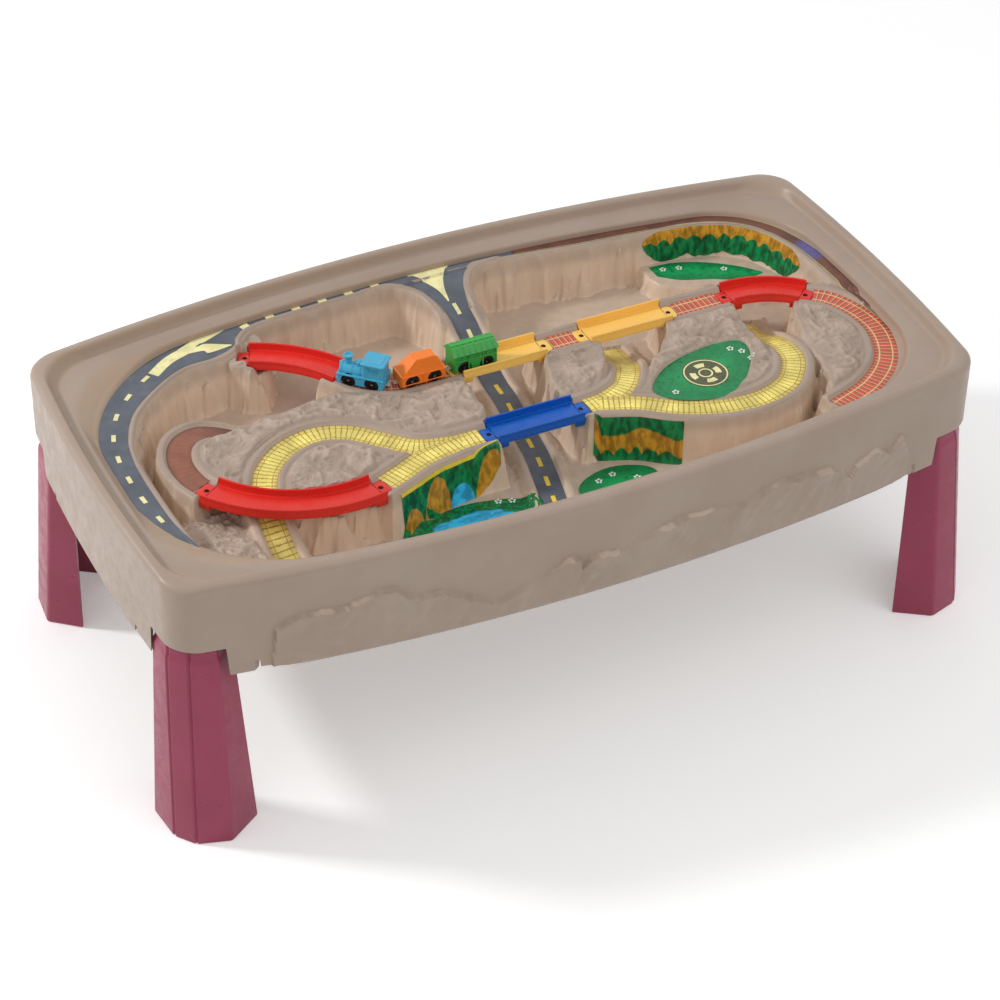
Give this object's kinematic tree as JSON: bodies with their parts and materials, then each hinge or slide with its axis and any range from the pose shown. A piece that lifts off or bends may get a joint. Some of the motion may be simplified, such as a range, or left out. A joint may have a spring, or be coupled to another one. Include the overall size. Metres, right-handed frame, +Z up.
{
  "type": "train table",
  "caption": "Moulded play table: a bowed tray with a sunken canyon landscape, rail lanes and road, on channel legs, with screwed bridges and a small train.",
  "frame": {"origin": "on the floor under the middle of the table", "axes": "+X along the table's length, +Y towards its back, +Z up"},
  "size_m": [1.238, 0.668, 0.417],
  "materials": {
    "tray": "satin moulded, lightly grained",
    "leg": "satin moulded",
    "steel": "zinc plated",
    "dark_steel": "black oxide",
    "bridge_red": "glossy moulded",
    "bridge_orange": "glossy moulded",
    "bridge_blue": "glossy moulded",
    "car_blue": "glossy moulded",
    "car_orange": "glossy moulded",
    "car_green": "glossy moulded",
    "car_base": "matt moulded",
    "hitch": "satin moulded",
    "axle": "plain",
    "wheel": "satin moulded"
  },
  "bodies": {
    "table": {"tray": "tray", "leg_front_left": "leg", "leg_front_right": "leg", "leg_back_left": "leg", "leg_back_right": "leg", "leg_screws": "steel", "bridge_ramp": "bridge_red", "bridge_curve": "bridge_red", "bridge_orange_left": "bridge_orange", "bridge_orange_right": "bridge_orange", "bridge_blue": "bridge_blue", "bridge_red_right": "bridge_red", "bridge_screws": "dark_steel"},
    "engine": {"engine_body": "car_blue", "engine_base": "car_base", "engine_hitch": "hitch"},
    "engine_front_wheelset": {"engine_front_axle": "axle", "engine_front_wheels": "wheel"},
    "engine_rear_wheelset": {"engine_rear_axle": "axle", "engine_rear_wheels": "wheel"},
    "tender": {"tender_body": "car_orange", "tender_base": "car_base", "tender_hitch": "hitch"},
    "tender_front_wheelset": {"tender_front_axle": "axle", "tender_front_wheels": "wheel"},
    "tender_rear_wheelset": {"tender_rear_axle": "axle", "tender_rear_wheels": "wheel"},
    "boxcar": {"boxcar_body": "car_green", "boxcar_base": "car_base", "boxcar_hitch": "hitch"},
    "boxcar_front_wheelset": {"boxcar_front_axle": "axle", "boxcar_front_wheels": "wheel"},
    "boxcar_rear_wheelset": {"boxcar_rear_axle": "axle", "boxcar_rear_wheels": "wheel"}
  },
  "joints": [
    {"name": "engine_lift", "type": "slide", "parent": "table", "child": "engine", "axis": [0, 0, 1], "range_m": [0, 0.15]},
    {"name": "engine_front_roll", "type": "hinge", "parent": "engine", "child": "engine_front_wheelset", "pos_m": [-0.18681, 0.09576, 0.3838], "axis": [-0.6947, -0.7193, 0], "continuous": true},
    {"name": "engine_rear_roll", "type": "hinge", "parent": "engine", "child": "engine_rear_wheelset", "pos_m": [-0.16236, 0.07214, 0.3838], "axis": [-0.6947, -0.7193, 0], "continuous": true},
    {"name": "tender_lift", "type": "slide", "parent": "table", "child": "tender", "axis": [0, 0, 1], "range_m": [0, 0.15]},
    {"name": "tender_front_roll", "type": "hinge", "parent": "tender", "child": "tender_front_wheelset", "pos_m": [-0.118, 0.0598, 0.3838], "axis": [-0.0011, -1, 0], "continuous": true},
    {"name": "tender_rear_roll", "type": "hinge", "parent": "tender", "child": "tender_rear_wheelset", "pos_m": [-0.084, 0.05976, 0.3838], "axis": [-0.0011, -1, 0], "continuous": true},
    {"name": "boxcar_lift", "type": "slide", "parent": "table", "child": "boxcar", "axis": [0, 0, 1], "range_m": [0, 0.15]},
    {"name": "boxcar_front_roll", "type": "hinge", "parent": "boxcar", "child": "boxcar_front_wheelset", "pos_m": [-0.038, 0.06, 0.3838], "axis": [0, -1, 0], "continuous": true},
    {"name": "boxcar_rear_roll", "type": "hinge", "parent": "boxcar", "child": "boxcar_rear_wheelset", "pos_m": [-0.004, 0.06, 0.3838], "axis": [0, -1, 0], "continuous": true}
  ]
}
